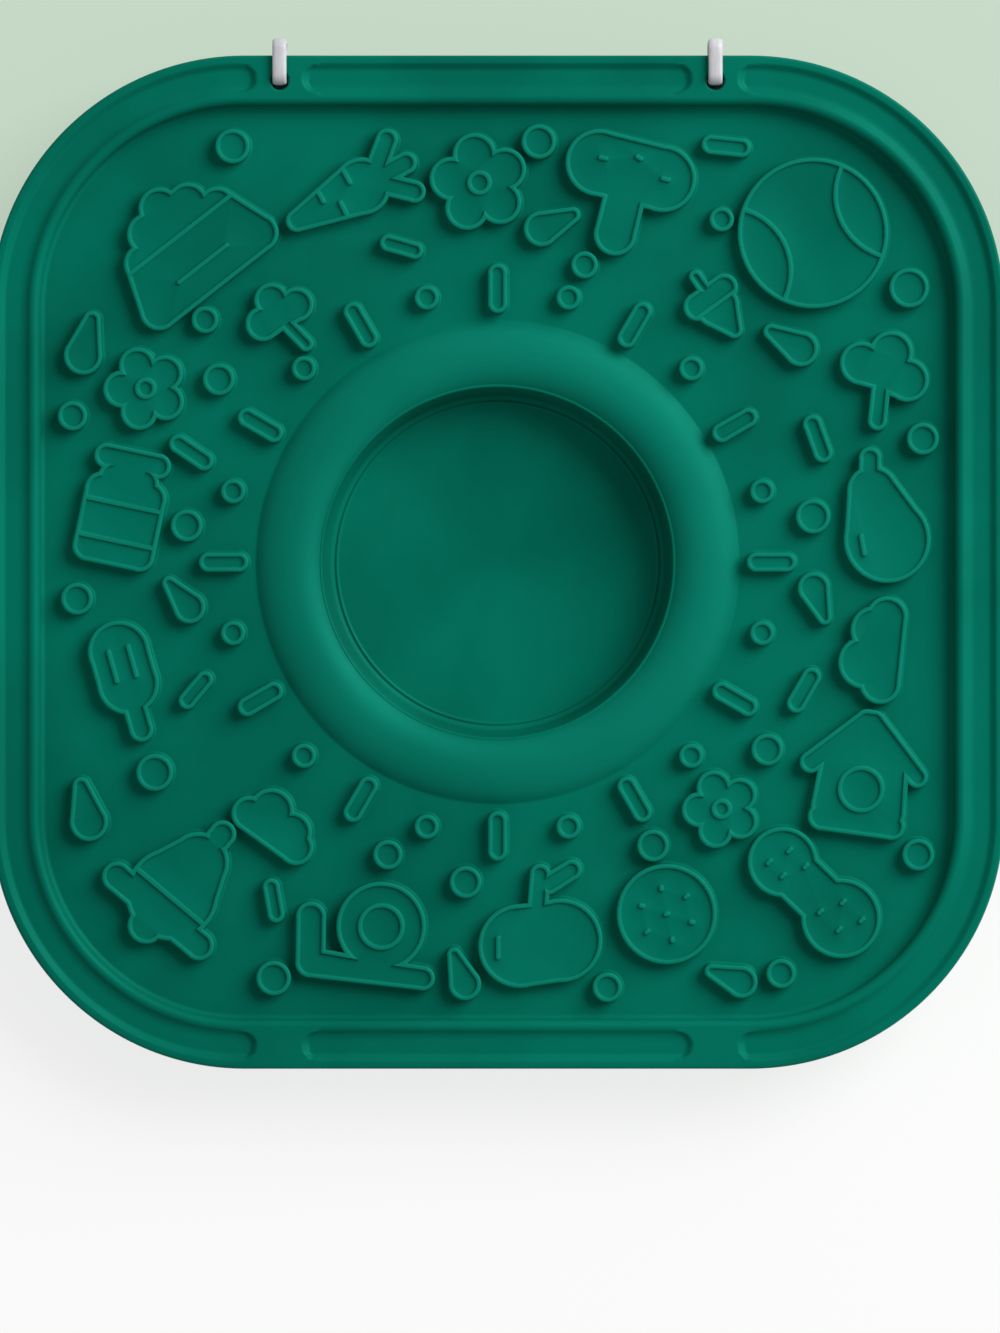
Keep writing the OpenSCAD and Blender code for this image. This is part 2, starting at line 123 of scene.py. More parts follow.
class LickMatSizes(PropertyGroup):
    """Sizes of the mat's rim, field, lands and tie holes"""
    half_width: from_frame("Half width", "Half of the width over the outer edge", MAT_HIGH[0])
    crest_height: from_frame("Ridge height", "Height of the ridge above the table", MAT_HIGH[2])
    corner_radius: length("Corner radius", "Radius of the outer edge's corners, seen from above", 50)
    field_height: from_frame("Field height", "Height of the field above the table", MAT_HIGH[2], 4)
    field_thickness: length("Field thickness", "Thickness of the field", 2.5)
    ridge_inset: length("Ridge inset", "Distance of the ridge's crest from the outer edge", 8.3)
    ridge_round: length("Ridge radius", "Radius of the ridge's rounded crest", 1.4)
    ridge_slope: steepness("Ridge slope", "Steepness of the channel's floor where it meets the ridge", 40)
    bank_inset: length("Bank inset", "Distance from the outer edge at which the channel's floor rises", 5)
    channel_depth: length("Channel depth", "Depth of the channel below the ridge's crest", 0.95)
    underside: from_frame("Underside", "Height of the rim's underside above the table", MAT_HIGH[2], 5.4)
    lip_drop: length("Lip drop", "How far the outer lip lies below the ridge's crest", 0.05)
    lip_edge: length("Lip edge", "Radius of the lip's outer edge", 0.6)
    lip_width: length("Lip width", "Width of the lip's level top with its outer edge", 1.3)
    lip_round: length("Lip rounding", "Radius of the lip's inner edge", 0.8)
    lip_slope: steepness("Lip slope", "Steepness of the lip's inner side", 39)
    channel_round: length("Channel fillet", "Radius between the lip's inner side and the channel", 1.2)
    foot_thickness: length("Foot thickness", "Thickness of the wall that stands on the table", 2.5)
    under_edge: length("Under edge", "Radius of the outer edge's lower side", 0.6)
    under_fillet: length("Under fillet", "Radius between the foot wall and the faces above it", 0.8)
    sole_edge: length("Sole edge", "Radius of the foot wall's edges on the table", 0.5)
    wall_fillet: length("Wall fillet", "Radius between the ridge's inner wall and the field", 0.9)
    land_offset: length("Land offset", "Distance of each land from the middle of the side", 43)
    land_width: length("Land width", "Width of each land", 10)
    land_slope: length("Land slope", "Half of the run of a land's sloping side", 0.8)
    land_round: length("Channel end", "Radius of the channel's round ends at a land, from above", 2.7)
    land_round_inset: length("Channel end inset", "Distance of their centres from the outer edge", 4.6)
    hole_diameter: length("Hole diameter", "Diameter of the hole through each upper land", 3.6)
    hole_inset: length("Hole inset", "Distance of the hole from the outer edge", 5)
    hole_round: length("Hole edge", "Radius of the hole's rim", 0.45)


class BowlSizes(PropertyGroup):
    """Sizes of the bowl in the middle and the swollen ring round it"""
    floor_radius: length("Floor radius", "Inner radius of the bowl at its floor", 33.4)
    mouth_radius: length("Mouth radius", "Inner radius of the bowl at its mouth", 34.6)
    floor_thickness: length("Floor thickness", "Thickness of the bowl's floor in its middle", 2)
    dish_rise: length("Dish rise", "How much higher the floor is at its edge than in its middle", 2)
    wall_thickness: length("Wall thickness", "Thickness of the bowl's wall", 2.5)
    floor_fillet: length("Floor fillet", "Radius between the bowl's wall and its floor", 1.2)
    swell_inner: length("Swell inner side", "Width of the swollen ring from the mouth to its crest", 5.6)
    swell_outer: length("Swell outer side", "Width of the swollen ring from its crest to the field", 7.6)
    swell_height: length("Swell height", "Height of the swollen ring above the field", 2.2)
    swell_fillet: length("Swell fillet", "Radius between the swollen ring and the field", 0.9)
    mouth_bead: length("Mouth bead", "Radius of the thin bead round the bowl's mouth", 0.42)
    mouth_bead_sunk: length("Mouth bead depth", "How far that bead's centre lies in the swollen ring", 0.2)
    floor_bead: length("Floor bead", "Distance of the bead on the floor from the bowl's middle", 32)
    floor_bead_width: length("Floor bead width", "Width of that bead", 0.9)
    floor_bead_height: length("Floor bead height", "Height of that bead", 0.2)
    under_edge: length("Under edge", "Radius of the edges on the bowl's underside", 0.9)


class FigureSizes(PropertyGroup):
    """Heights and roundings of the raised figures"""
    face_height: from_frame("Face height", "Height of a figure's face above the table", MAT_HIGH[2], 1.8)
    bead_height: from_frame("Bead height", "Height of a figure's bead above the table", MAT_HIGH[2], 1.3)
    edge_round: length("Outer edge", "Radius of the bead's outer edge", 0.42)
    pocket_round: length("Inner edge", "Radius of the bead's inner edge", 0.28)
    foot_round: length("Foot fillet", "Radius between a figure and the field", 0.5)
    foot_sunk: length("Foot sunk", "How far a figure's fillet reaches into the field", 0.3)
    pocket_fillet: length("Pocket fillet", "Radius between the bead and a figure's face", 0.2)
    ring_limit: length("Ring limit", "Radius that parts the ring of bars from the figures", 61)


class CupSizes(PropertyGroup):
    """Sizes of the suction cups and of the sockets that hold them"""
    diameter: from_frame("Diameter", "Outer diameter of the cup's lip", CUP_HIGH[0] - CUP_LOW[0])
    top: from_frame("Height", "Height of the cup with its button head", CUP_HIGH[2])
    shoulder_height: from_frame("Shoulder height", "Height of the cup's shoulder", CUP_HIGH[2], 4)
    shoulder_diameter: length("Shoulder diameter", "Diameter of the cup's shoulder", 9)
    wall: length("Wall", "Thickness of the cup's wall", 1.4)
    stem_diameter: length("Stem diameter", "Diameter of the stem", 5)
    head_diameter: length("Head diameter", "Diameter of the button head", 8)
    head_height: length("Head height", "Height of the button head", 1.8)
    socket_diameter: length("Socket diameter", "Outer diameter of the socket under the field", 13)
    socket_low: from_frame("Socket height", "Height of the socket's lip above the table", CUP_HIGH[2], 3.5)
    socket_lip: length("Socket lip", "Thickness of the lip that holds the head", 1.4)
    socket_sunk: length("Socket sunk", "How far the socket reaches into the field", 0.4)
    socket_edge: length("Socket edge", "Radius of the socket's edges", 0.4)
    socket_fillet: length("Socket fillet", "Radius between the socket and the field", 0.8)
    lip_width: length("Lip width", "Width of the cup's lip on the table", 0.7)
    lip_edge: length("Lip edge", "Radius of the lip's edge, and of the head's lower edge", 0.3)
    stem_fillet: length("Stem fillet", "Radius between the shoulder and the stem", 0.6)
    head_edge: length("Head edge", "Radius of the head's upper edge", 0.6)
    stem_gap: length("Stem gap", "Gap between the stem and the socket", 0.1)
    head_gap: length("Head gap", "Gap between the head and the socket's chamber", 0.3)


class TieSizes(PropertyGroup):
    """Sizes of the cable ties"""
    strap_width: length("Strap width", "Width of the strap", 2.8)
    strap_thickness: length("Strap thickness", "Thickness of the strap", 1.2)
    bend_radius: length("Bend radius", "Radius at the middle of the strap where it bends", 1.5)
    inner_inset: length("Inner run", "Distance of the inner run from the mat's outer edge", 5.25)
    head_height: length("Head height", "Height of the head along the tail", 3.4)
    head_length: length("Head length", "Length of the head along the root strap", 4.2)
    head_width: length("Head width", "Width of the head across the strap", 4.6)
    head_edge: length("Head edge", "Radius of the head's edges", 0.5)
    mouth_inset: length("Mouth inset", "Distance of the head's mouth from its rounded edges", 0.2)
    mouth_bank: length("Mouth bank", "Width and depth of the bank round the mouth", 0.12)
    mouth_depth: length("Mouth depth", "Depth of the mouth under its bank", 0.7)
    root_sunk: length("Root sunk", "How far the strap's root reaches into the head", 0.5)
    tail: length("Tail", "Tail left standing out of the head", 1.6)
    tooth_pitch: length("Tooth pitch", "Distance between the strap's teeth", 0.7)
    tooth_height: length("Tooth height", "Height of the strap's teeth", 0.14)


class Finishes(PropertyGroup):
    """Colours of the materials"""
    silicone: colour("Silicone", "Colour of the mat", (2, 112, 92))
    silicone_deep: colour("Silicone, deep", "Darker tone in the mat's mottling", (2, 100, 82))
    # Painted highlight: a lighter tone painted on the figures' beads and on the swollen ring round the bowl
    silicone_painted_highlight: colour("Silicone, raised", "Tone of the raised beads and crests", (12, 128, 107))
    silicone_sheen: colour("Silicone sheen", "Colour of the mat's soft reflections", (40, 235, 200))
    cup: colour("Cups", "Colour of the milky suction cups", (205, 219, 212))
    nylon: colour("Nylon", "Colour of the cable ties", (213, 213, 218))
    dust: colour("Dust", "Colour of the faint dust on level faces", (60, 140, 122))


class StudioSettings(PropertyGroup):
    """The camera, the lights and the floor"""
    camera_height: length("Camera height", "Height of the camera above the mat's top", 1500)
    camera_right: length("Camera to the right", "Distance of the picture's centre from the mat's", 0.5)
    camera_down: length("Camera down", "Distance of the picture's centre below the mat's", 20.6)
    camera_reach: length("Camera reach", "Distance up to which the camera sees", 20000)
    picture_height: length("Picture height", "What the picture's long side shows at the mat's top", 263)
    key_place: position("Key place", "Place of the large soft light", (1.10, 0.77, 0.97))
    key_size: length("Key size", "Width of the large soft light", 1200)
    key_watts: number("Key light", "Power of the large soft light", 30.5)
    fill_place: position("Fill place", "Place of the weak light opposite", (-0.9, -0.5, 0.9))
    fill_size: length("Fill size", "Width of the weak light opposite", 1000)
    fill_watts: number("Fill light", "Power of the weak light opposite", 0.3)
    world_level: number("World", "Level of the even light all round", 0.32)
    floor_size: length("Floor size", "Width of the floor", 8000)
    floor_drop: length("Floor drop", "How far the floor lies below the mat's foot", 0.05)
    floor_back: colour("Floor, back", "Colour of the floor behind the mat", (201, 219, 201))
    floor_front: colour("Floor, front", "Colour of the floor in front of the mat", (254, 255, 254))
    floor_border: length("Floor border", "Width of the strip where one colour turns into the other", 70)
    floor_glow: number("Floor glow", "Share of the floor's own colour that the camera sees unlit", 0.78)


# The functions below take these groups as s, b, g, c, t, f and p, in this order
GROUPS = {
    "lick_mat_sizes": LickMatSizes, "lick_mat_bowl": BowlSizes, "lick_mat_figures": FigureSizes,
    "lick_mat_cups": CupSizes, "lick_mat_ties": TieSizes, "lick_mat_finishes": Finishes,
    "lick_mat_studio": StudioSettings,
}


# Sections and chains

def arc(centre, radius, start, end, steps):
    """Points of an arc in a section, from one angle to another in degrees."""
    angles = [math.radians(start + (end - start) * i / steps) for i in range(steps + 1)]
    return [(centre[0] + radius * math.cos(a), centre[1] + radius * math.sin(a)) for a in angles]


def steadied(points):
    """The same line with a point near both ends of each long straight, so that flat faces shade flat."""
    line = [points[0]]
    for a, b in zip(points, points[1:]):
        run = math.dist(a, b)
        if run > 5 * STRIP:
            for share in (STRIP / run, 1 - STRIP / run):
                line.append((a[0] + (b[0] - a[0]) * share, a[1] + (b[1] - a[1]) * share))
        if run > SAME:
            line.append(b)
    return line


def bump(distance, width, height):
    """Height of a rounded bead at a distance from its middle."""
    if abs(distance) >= width / 2:
        return 0.0
    return height * math.cos(math.pi * distance / width) ** 2


def smooth_step(t):
    """0 below 0, 1 above 1, and a soft S between."""
    t = min(1.0, max(0.0, t))
    return t * t * (3 - 2 * t)


def deselect_all():
    """Leaves edit mode and selects nothing."""
    if bpy.context.object and bpy.context.object.mode != "OBJECT":
        bpy.ops.object.mode_set(mode="OBJECT")
    bpy.ops.object.select_all(action="DESELECT")


def make_active(piece):
    """Selects one piece alone."""
    deselect_all()
    piece.select_set(True)
    bpy.context.view_layer.objects.active = piece


def add_object(name, data):
    """A new object in the scene."""
    piece = bpy.data.objects.new(name, data)
    bpy.context.scene.collection.objects.link(piece)
    return piece


def edit(piece, kind="VERT"):
    """Enters edit mode on one piece, with the given kind of selection."""
    make_active(piece)
    bpy.ops.object.mode_set(mode="EDIT")
    bpy.ops.mesh.select_mode(type=kind)


def select_all(action="SELECT"):
    """Selects all of the piece in edit mode, or nothing of it."""
    bpy.ops.mesh.select_all(action=action)


def draw_chain(name, points):
    """A new piece in edit mode, with one vertex extruded through the points and all of it selected."""
    deselect_all()
    bpy.ops.mesh.primitive_plane_add(size=MM)
    piece = bpy.context.object
    piece.name = name
    piece.data.name = name
    edit(piece)
    select_all()
    bpy.ops.mesh.merge(type="CENTER")
    bpy.ops.transform.translate(value=points[0])
    for a, b in zip(points, points[1:]):
        extrude(Vector(b) - Vector(a))
    select_all()
    return piece


def extrude(step):
    """Extrudes what is selected by a step."""
    bpy.ops.mesh.extrude_region_move(TRANSFORM_OT_translate={"value": step})


def extrude_through(places, direction):
    """Extrudes what is selected from the first place to each next one."""
    for a, b in zip(places, places[1:]):
        extrude(Vector(direction) * (b - a))


def turn(centre, axis, degrees, steps):
    """Spins what is selected round an axis, by the right-hand rule."""
    bpy.ops.mesh.spin(steps=steps, angle=math.radians(-degrees), center=centre, axis=axis)


def close_up(piece):
    """Merges doubles and points the faces outwards."""
    edit(piece)
    select_all()
    bpy.ops.mesh.remove_doubles(threshold=SAME)
    select_all()
    bpy.ops.mesh.normals_make_consistent(inside=False)
    bpy.ops.object.mode_set(mode="OBJECT")


def turned(name, section, steps, place=(0, 0, 0)):
    """A piece turned about the upright axis at a place, from a section of (radius, height) points."""
    piece = draw_chain(name, [(place[0] + r, place[1], place[2] + z) for r, z in section])
    turn(place, (0, 0, 1), 360, steps)
    close_up(piece)
    return piece


def join(pieces, name):
    """Joins pieces into the first one."""
    deselect_all()
    for piece in pieces:
        piece.select_set(True)
    bpy.context.view_layer.objects.active = pieces[0]
    bpy.ops.object.join()
    pieces[0].name = name
    pieces[0].data.name = name
    return pieces[0]


def finish_piece(piece, material, body, nodes=(), angle=35):
    """Shades a piece smooth, gives it its material, ties it to its body, and hides the CAD nodes that it
    stands for.
    """
    make_active(piece)
    bpy.ops.object.transform_apply(location=True, rotation=True, scale=True)
    bpy.ops.object.shade_smooth_by_angle(angle=math.radians(angle))
    piece.data.materials.clear()
    piece.data.materials.append(material)
    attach(piece, body)
    if nodes:
        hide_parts(*nodes)
    deselect_all()


# The moulded mat

def channel_section(s):
    """Section of the rim's channel, as (distance from the corner's centre, height), from the ridge's crest
    down its bank, over the channel's floor and up to the lip's level top."""
    channel = s.crest_height - s.channel_depth
    bank_top = s.corner_radius - s.ridge_inset + s.ridge_round * math.sin(s.ridge_slope)
    bank_width = s.corner_radius - s.bank_inset - bank_top
    bank_rise = s.channel_depth - s.ridge_round * (1 - math.cos(s.ridge_slope))
    power = math.tan(s.ridge_slope) * bank_width / bank_rise
    points = []
    steps = 12
    for i in range(1, steps + 1):
        t = i / steps
        points.append((bank_top + bank_width * t, channel + bank_rise * (1 - t) ** power))
    lip_top = s.crest_height - s.lip_drop
    fall = math.degrees(s.lip_slope)
    both_rounds = s.lip_round + s.channel_round
    run = (lip_top - channel - both_rounds * (1 - math.cos(s.lip_slope))) / math.tan(s.lip_slope)
    level_end = s.corner_radius - s.lip_width
    lip_foot = level_end - both_rounds * math.sin(s.lip_slope) - run
    points += arc((lip_foot, channel + s.channel_round), s.channel_round, 270, 270 + fall, 7)
    points += arc((level_end, lip_top - s.lip_round), s.lip_round, 90 + fall, 90, 7)
    points += arc((s.corner_radius - s.lip_edge, lip_top - s.lip_edge), s.lip_edge, 90, 0, 8)
    return points


def rim_section(s):
    """Section of the rim, as (distance from the corner's centre, height), from the field's edge over the
    ridge, the channel and the lip, down the outer edge and back under to the field."""
    ridge = s.corner_radius - s.ridge_inset
    wall = ridge - s.ridge_round
    wall_foot = (wall - s.wall_fillet, s.field_height + s.wall_fillet)
    points = [(wall - s.wall_fillet - STRIP, s.field_height)]
    points += arc(wall_foot, s.wall_fillet, -90, 0, 6)
    bank = math.degrees(s.ridge_slope)
    points += arc((ridge, s.crest_height - s.ridge_round), s.ridge_round, 180, 90 - bank, 18)
    points += channel_section(s)
    edge, sole, fillet = s.under_edge, s.sole_edge, s.under_fillet
    under = s.field_height - s.field_thickness
    foot_in = wall - s.foot_thickness
    points += arc((s.corner_radius - edge, s.underside + edge), edge, 0, -90, 6)
    points += arc((wall + fillet, s.underside - fillet), fillet, 90, 180, 6)
    points += arc((wall - sole, sole), sole, 0, -90, 5)
    points += arc((foot_in + sole, sole), sole, -90, -180, 5)
    points += arc((foot_in - fillet, under - fillet), fillet, 0, 90, 6)
    points.append((foot_in - fillet - STRIP, under))
    return steadied(points)


def raise_lands(piece, s):
    """Fills the channel up to the ridge's height at the land, and leaves the channel with round ends."""
    centre = s.half_width - s.corner_radius
    ridge = s.corner_radius - s.ridge_inset
    lip = s.corner_radius - s.lip_width
    middle = s.corner_radius - s.land_round_inset
    for vertex in piece.data.vertices:
        x, y, z = vertex.co
        u = y - centre
        if x > centre + SAME or u < ridge - SAME or z < s.crest_height - s.channel_depth - SAME:
            continue
        aside = min(s.land_round, abs(u - middle))
        setback = s.land_round - math.sqrt(s.land_round ** 2 - aside ** 2)
        run = s.land_width / 2 + setback - abs(x - s.land_offset)
        share = smooth_step((run / s.land_slope + 1) / 2)
        level = min(s.crest_height, z + s.lip_drop) if u > lip else s.crest_height
        vertex.co.z = z + (level - z) * share


def rim_stations(s, centre):
    """Places along the back side for the rim's section, close together at the sloping ends of the land."""
    fine = 0.2 * MM
    reach = s.land_slope + s.land_round + fine
    stations = [centre * share for share in (0, 0.3, 0.55)]
    for side in (-1, 1):
        edge = s.land_offset + side * s.land_width / 2
        stations += [edge - reach + i * fine for i in range(round(2 * reach / fine) + 1)]
        stations.append(s.land_offset + side * s.land_width / 4)
    stations.append(s.land_offset)
    return sorted(x for x in stations if x < centre - fine / 2) + [centre]


def rim_quarter(s):
    """A quarter of the rim, from the middle of the back side to the middle of the right side."""
    centre = s.half_width - s.corner_radius
    piece = draw_chain("mat", [(0, centre + u, z) for u, z in rim_section(s)])
    extrude_through(rim_stations(s, centre), (1, 0, 0))
    turn((centre, centre, 0), (0, 0, -1), 90, QUARTER_STEPS)
    extrude_through([centre * share for share in (0, 0.35, 0.7, 1)], (0, -1, 0))
    bpy.ops.object.mode_set(mode="OBJECT")
    raise_lands(piece, s)
    return piece


def floor_level(radius, b):
    """Height of the bowl's dished floor at a distance from its middle."""
    return b.floor_thickness + b.dish_rise * (radius / b.floor_radius) ** 2


def swell_section(s, b):
    """Section of the swollen ring, as (radius, height), from the field over its crest to the bead at the
    bowl's mouth, and the lean of the bowl's wall in degrees."""
    # The ring's two sides are arcs that meet level at its crest
    rise = b.swell_height
    widths = (b.swell_outer, b.swell_inner)
    outer_radius, inner_radius = [(width ** 2 + rise ** 2) / (2 * rise) for width in widths]
    crest = Vector((b.mouth_radius + b.swell_inner, s.field_height + rise))
    outer, inner = crest - Vector((0, outer_radius)), crest - Vector((0, inner_radius))
    # The outer side runs into the field through a fillet
    fillet = b.swell_fillet
    lift = s.field_height + fillet - outer.y
    reach = math.sqrt((outer_radius + fillet) ** 2 - lift ** 2)
    meet = math.degrees(math.atan2(lift, reach))
    points = [(outer.x + reach + STRIP, s.field_height)]
    points += arc((outer.x + reach, s.field_height + fillet), fillet, 270, 180 + meet, 8)
    points += arc(outer, outer_radius, meet, 90, 20)[1:]
    # The inner side ends in the bead, whose centre lies a little inside that side's arc
    bead_radius = b.mouth_bead
    depth = inner_radius - b.mouth_bead_sunk
    across = b.swell_inner - bead_radius
    bead = inner + Vector((-across, math.sqrt(depth ** 2 - across ** 2)))
    half_cut = math.acos((inner_radius ** 2 + depth ** 2 - bead_radius ** 2) / (2 * inner_radius * depth))
    crossing = math.pi - math.acos(across / depth) - half_cut
    points += arc(inner, inner_radius, 90, math.degrees(crossing), 18)[1:]
    # From where the two meet, the bead turns down into the bowl's leaning wall
    start = inner + inner_radius * Vector((math.cos(crossing), math.sin(crossing))) - bead
    wall_height = bead.y - b.floor_thickness - b.dish_rise
    lean = math.degrees(math.atan2(b.mouth_radius - b.floor_radius, wall_height))
    points += arc(bead, bead_radius, math.degrees(math.atan2(start.y, start.x)), 180 - lean, 8)[1:]
    return points, lean


def floor_section(b, lean):
    """Section of the bowl's dished floor, as (radius, height), from the wall over the floor's bead to the
    axis."""
    fillet = b.floor_fillet
    edge = b.floor_radius - fillet
    rise = math.degrees(math.atan(2 * b.dish_rise * edge / b.floor_radius ** 2))
    points = arc((edge, floor_level(edge, b) + fillet), fillet, -lean, rise - 90, 7)
    steps, bead_steps = 14, 10
    radii = [edge * i / steps for i in range(steps + 1)]
    # Points near the bead give way to the bead's own
    clear = b.floor_bead_width * 0.6
    radii = [radius for radius in radii if abs(radius - b.floor_bead) > clear]
    radii += [b.floor_bead + b.floor_bead_width * (i / bead_steps - 0.5) for i in range(bead_steps + 1)]
    for radius in sorted(radii, reverse=True):
        bead = bump(radius - b.floor_bead, b.floor_bead_width, b.floor_bead_height)
        points.append((radius, floor_level(radius, b) + bead))
    return points


def under_section(s, b):
    """Section of the bowl's underside, as (radius, height), from the axis out and up to the field."""
    under = s.field_height - s.field_thickness
    low = b.floor_radius + b.wall_thickness
    high = b.mouth_radius + b.wall_thickness
    edge = b.under_edge
    points = [(0, 0), (low / 2, 0)]
    points += arc((low - edge, edge), edge, -90, 0, 6)
    points += arc((high + edge, under - edge), edge, 180, 90, 6)
    points.append((high + edge + STRIP, under))
    return points


def bowl_quarter(s, b):
    """A quarter of the bowl, above and below."""
    swell, lean = swell_section(s, b)
    pieces = []
    for section in (swell + floor_section(b, lean), under_section(s, b)):
        piece = draw_chain("bowl", [(r, 0, z) for r, z in steadied(section)])
        turn((0, 0, 0), (0, 0, 1), 90, QUARTER_STEPS)
        bpy.ops.object.mode_set(mode="OBJECT")
        pieces.append(piece)
    return pieces


def bridge_field(piece, height):
    """Bridges the open edges of the rim and the bowl that lie level at a height, off the middle planes."""
    edit(piece, "EDGE")
    select_all("DESELECT")
    bpy.ops.object.mode_set(mode="OBJECT")
    mesh = piece.data
    uses = Counter(key for polygon in mesh.polygons for key in polygon.edge_keys)
    for line in mesh.edges:
        ends = [mesh.vertices[i].co for i in line.vertices]
        is_level = all(abs(p.z - height) < SAME for p in ends)
        on_plane = all(abs(p.x) < SAME for p in ends) or all(abs(p.y) < SAME for p in ends)
        line.select = is_level and not on_plane and uses[tuple(sorted(line.vertices))] == 1
    bpy.ops.object.mode_set(mode="EDIT")
    bpy.ops.mesh.bridge_edge_loops()
    bpy.ops.object.mode_set(mode="OBJECT")


def mirror_quarter(piece):
    """Mirrors a quarter across the middle planes and merges it along them."""
    make_active(piece)
    modifier = piece.modifiers.new("mirror", "MIRROR")
    modifier.use_axis = (True, True, False)
    modifier.merge_threshold = SAME
    bpy.ops.object.modifier_apply(modifier=modifier.name)
    close_up(piece)


def remove(piece):
    """Deletes a piece that has served as a tool or as the first of its kind."""
    make_active(piece)
    bpy.ops.object.delete()


def cut_holes(piece, s):
    """Cuts the two tie holes through the upper lands, with rounded rims."""
    radius = s.hole_diameter / 2
    edge = s.hole_round
    outer = radius + edge
    over = 1 * MM
    # The rims stand out of the faces by a hair, so that the cut is clean
    hair = 0.01 * MM
    section = [(0, s.crest_height + over), (outer, s.crest_height + over)]
    section += arc((outer, s.crest_height - edge + hair), edge, 90, 180, 6)
    section += arc((outer, s.underside + edge - hair), edge, 180, 270, 6)
    section += [(outer, s.underside - over), (0, s.underside - over)]
    for side in (-1, 1):
        place = (side * s.land_offset, s.half_width - s.hole_inset, 0)
        cutter = turned("cutter", section, 40, place)
        make_active(piece)
        modifier = piece.modifiers.new("hole", "BOOLEAN")
        modifier.operation = "DIFFERENCE"
        modifier.solver = "EXACT"
        modifier.object = cutter
        bpy.ops.object.modifier_apply(modifier=modifier.name)
        remove(cutter)


def cup_places():
    """The centre of each cup on the table, by node, as its CAD box has it."""
    places = {}
    for node in CUP_NODES:
        low, high = corners(node)
        places[node] = ((low[0] + high[0]) / 2, (low[1] + high[1]) / 2, 0)
    return places


def sockets(s, c):
    """The sockets under the field that hold the cups' heads."""
    under = s.field_height - s.field_thickness
    sunk = under + c.socket_sunk
    outer = c.socket_diameter / 2
    hole = c.stem_diameter / 2 + c.stem_gap
    chamber = c.head_diameter / 2 + c.head_gap
    lip_top = c.socket_low + c.socket_lip
    edge, fillet = c.socket_edge, c.socket_fillet
    section = [(chamber, sunk), (outer + fillet, sunk)]
    section += arc((outer + fillet, under - fillet), fillet, 90, 180, 6)
    section += arc((outer - edge, c.socket_low + edge), edge, 0, -90, 4)
    section += arc((hole + edge, c.socket_low + edge), edge, -90, -180, 4)
    section += [(hole, lip_top), (chamber, lip_top), (chamber, sunk)]
    return [turned("socket", steadied(section), 48, place) for place in cup_places().values()]


# The raised figures

def figure_loops(node, height):
    """Outlines of the level faces at a height in a CAD node, each a list of points with the solid on its
    left, and the height at the foot of the wall below each outline."""
    mesh = bmesh.new()
    mesh.from_mesh(node.data)
    bmesh.ops.remove_doubles(mesh, verts=mesh.verts, dist=SAME / 2)
    spacing = 0.02 * MM
    facing_up = 0.5
    tops = []
    for face in mesh.faces:
        if face.normal.z > facing_up and all(abs(v.co.z - height) < LEVEL for v in face.verts):
            tops.append(face)
    top_set = set(tops)
    after, feet = {}, {}
    for face in tops:
        for corner in face.loops:
            walls = [f for f in corner.edge.link_faces if f not in top_set]
            if walls:
                after[corner.vert] = corner.link_loop_next.vert
                feet[corner.vert] = min(v.co.z for f in walls for v in f.verts)
    loops, done = [], set()
    for start in after:
        if start in done:
            continue
        points, foot, vertex = [], height, start
        while vertex not in done:
            done.add(vertex)
            foot = min(foot, feet[vertex])
            if not points or (vertex.co.xy - points[-1]).length > spacing:
                points.append(vertex.co.xy.copy())
            vertex = after[vertex]
        loops.append((points, foot))
    mesh.free()
    return loops


def offset_ways(points):
    """At each point of a closed outline, the way to its right, lengthened at corners to keep the width, up
    to twice."""
    ways = []
    for i, point in enumerate(points):
        before = (point - points[i - 1]).normalized()
        behind = (points[(i + 1) % len(points)] - point).normalized()
        rights = [Vector((d.y, -d.x)) for d in (before, behind)]
        way = rights[0] + rights[1]
        # Where the outline turns right back, the two cancel out
        if way.length < 1e-6:
            way = rights[0]
        way.normalize()
        ways.append(way / max(0.5, way.dot(rights[0])))
    return ways


def sweep(mesh, points, section):
    """Sweeps a section of (offset, height) round a closed outline and returns its first and last rings."""
    ways = offset_ways(points)
    rings = []
    for offset, height in section:
        rings.append([mesh.verts.new((*(p + w * offset), height)) for p, w in zip(points, ways)])
    for upper, lower in zip(rings, rings[1:]):
        for i in range(len(points)):
            mesh.faces.new((upper[i - 1], lower[i - 1], lower[i], upper[i]))
    return rings[0], rings[-1]


def fill_between(mesh, rings):
    """Fills the level faces inside closed rings. A ring inside another one leaves a hole."""
    lines = []
    for ring in rings:
        for ends in zip([ring[-1], *ring], ring):
            lines.append(mesh.edges.get(ends) or mesh.edges.new(ends))
    bmesh.ops.triangle_fill(mesh, use_beauty=True, edges=lines)


def build_relief(name, loops, s, g):
    """Figures with rounded beads, from their outlines: each outline is swept with a rounded edge and a
    fillet at its foot, and the bead tops and the figures' faces are filled between."""
    field, bead, face = s.field_height, g.bead_height, g.face_height
    outer = arc((-g.edge_round, bead - g.edge_round), g.edge_round, 90, 0, 4)
    outer += arc((g.foot_round, field + g.foot_round), g.foot_round, 180, 270, 4)
    outer += [(g.foot_round, field - g.foot_sunk), (0, field - 2 * g.foot_sunk)]
    inner = arc((-g.pocket_round, bead - g.pocket_round), g.pocket_round, 90, 0, 3)
    inner += arc((g.pocket_fillet, face + g.pocket_fillet), g.pocket_fillet, 180, 270, 3)
    mesh = bmesh.new()
    tops, faces, bottoms = [], [], []
    for points, foot in loops:
        on_field = foot < face - LEVEL
        first, last = sweep(mesh, points, outer if on_field else inner)
        tops.append(first)
        (bottoms if on_field else faces).append(last)
    for rings in (tops, faces, bottoms):
        fill_between(mesh, rings)
    bmesh.ops.recalc_face_normals(mesh, faces=mesh.faces[:])
    data = bpy.data.meshes.new(name)
    mesh.to_mesh(data)
    mesh.free()
    return add_object(name, data)


# Cups and ties

